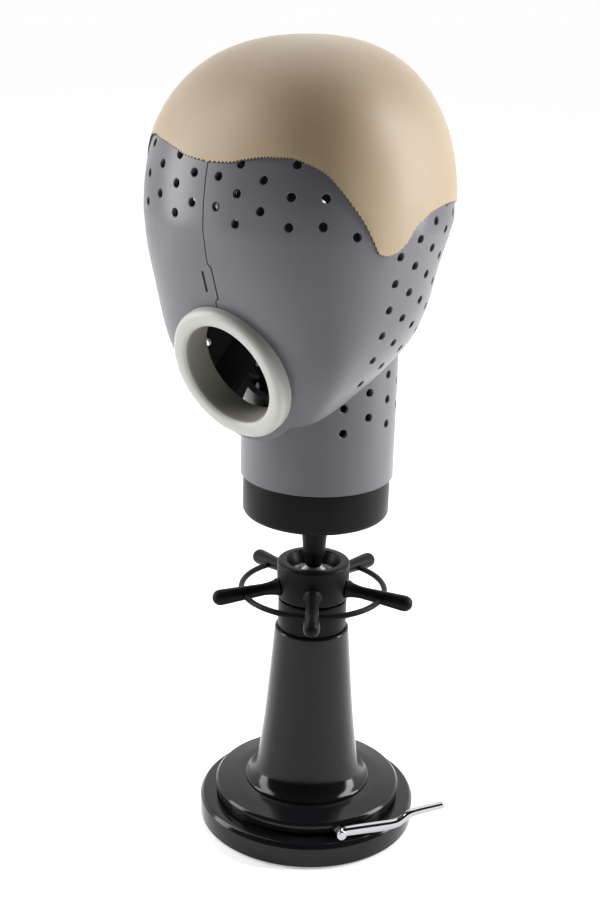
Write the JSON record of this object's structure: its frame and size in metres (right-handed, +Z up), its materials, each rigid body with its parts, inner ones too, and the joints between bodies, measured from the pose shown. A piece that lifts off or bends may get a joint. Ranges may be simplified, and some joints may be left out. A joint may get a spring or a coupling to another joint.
{
  "type": "mannequin training head",
  "caption": "Faceless perforated mannequin head with a mouth ring and a scalp cover, on a ball-jointed stand with a hand-wheel clamp and a lever suction base.",
  "frame": {"origin": "centre of the foot, on the surface that the stand rests on", "axes": "+Z up along the column; the face looks along -Y; +X is the head's left side"},
  "size_m": [0.1725, 0.1634, 0.4734],
  "materials": {
    "grey_shell": "satin-gloss moulded plastic, cool grey",
    "scalp_leather": "thin tan synthetic leather with a fine grain and a pinked edge",
    "ivory_ring": "satin off-white plastic",
    "black_gloss": "glossy black plastic",
    "black_satin": "satin black plastic",
    "nylon": "natural nylon",
    "rubber": "matt black rubber",
    "chrome": "bright chrome plate",
    "steel": "zinc-plated steel"
  },
  "bodies": {
    "root": {"base_housing": "black_gloss", "base_cover": "black_gloss", "suction_pad": "rubber", "column": "black_gloss", "column_screw_1": "steel", "column_screw_2": "steel", "column_screw_3": "steel", "column_collar": "black_satin", "ball_seat": "steel", "shaft_bearing_inner": "nylon", "shaft_bearing_outer": "nylon"},
    "lever": {"suction_lever": "chrome", "lever_screw": "chrome", "cam_shaft": "steel"},
    "lift": {"lift_stud": "steel"},
    "clamp": {"clamp_ring": "nylon"},
    "wheel": {"wheel_hub": "black_satin", "wheel_rim": "black_satin", "wheel_arm_1": "black_satin", "wheel_arm_2": "black_satin", "wheel_arm_3": "black_satin", "wheel_arm_4": "black_satin", "wheel_arm_5": "black_satin"},
    "liner": {"ball_liner": "nylon"},
    "stem": {"clamp_ball": "steel", "stem": "black_satin", "peg_washer": "steel", "peg_screw": "steel"},
    "head": {"head_shell_right": "grey_shell", "head_shell_left": "grey_shell", "scalp_cover": "scalp_leather", "nozzle_ring": "ivory_ring", "nozzle_ring_nut": "black_satin", "neck_tube": "grey_shell", "neck_cap": "black_satin", "peg_bushing": "nylon"}
  },
  "joints": [
    {"name": "suction_lever", "type": "hinge", "parent": "root", "child": "lever", "pos_m": [0, 0, 0.0197], "axis": [0.866, -0.5, 0], "range_deg": [0, 180]},
    {"name": "pad_lift", "type": "slide", "parent": "root", "child": "lift", "axis": [0, 0, 1], "range_m": [0, 0.006], "deforming": ["suction_pad"]},
    {"name": "clamp_travel", "type": "slide", "parent": "root", "child": "clamp", "axis": [0, 0, 1], "range_m": [0, 0.0015]},
    {"name": "wheel_turn", "type": "hinge", "parent": "clamp", "child": "wheel", "pos_m": [0, 0, 0.1512], "axis": [0, 0, 1], "range_deg": [0, 360]},
    {"name": "tilt_fore_aft", "type": "hinge", "parent": "root", "child": "liner", "pos_m": [0, 0, 0.156], "axis": [1, 0, 0], "range_deg": [-18, 18]},
    {"name": "tilt_side", "type": "hinge", "parent": "liner", "child": "stem", "pos_m": [0, 0, 0.156], "axis": [0, 1, 0], "range_deg": [-18, 18]},
    {"name": "head_swivel", "type": "hinge", "parent": "stem", "child": "head", "pos_m": [0, 0, 0.2012], "axis": [0, 0, 1], "continuous": true}
  ],
  "couplings": [
    {"joint": "pad_lift", "follows": "suction_lever", "m_per_rad": 0.0019099},
    {"joint": "clamp_travel", "follows": "wheel_turn", "m_per_rad": 0.00023873}
  ]
}
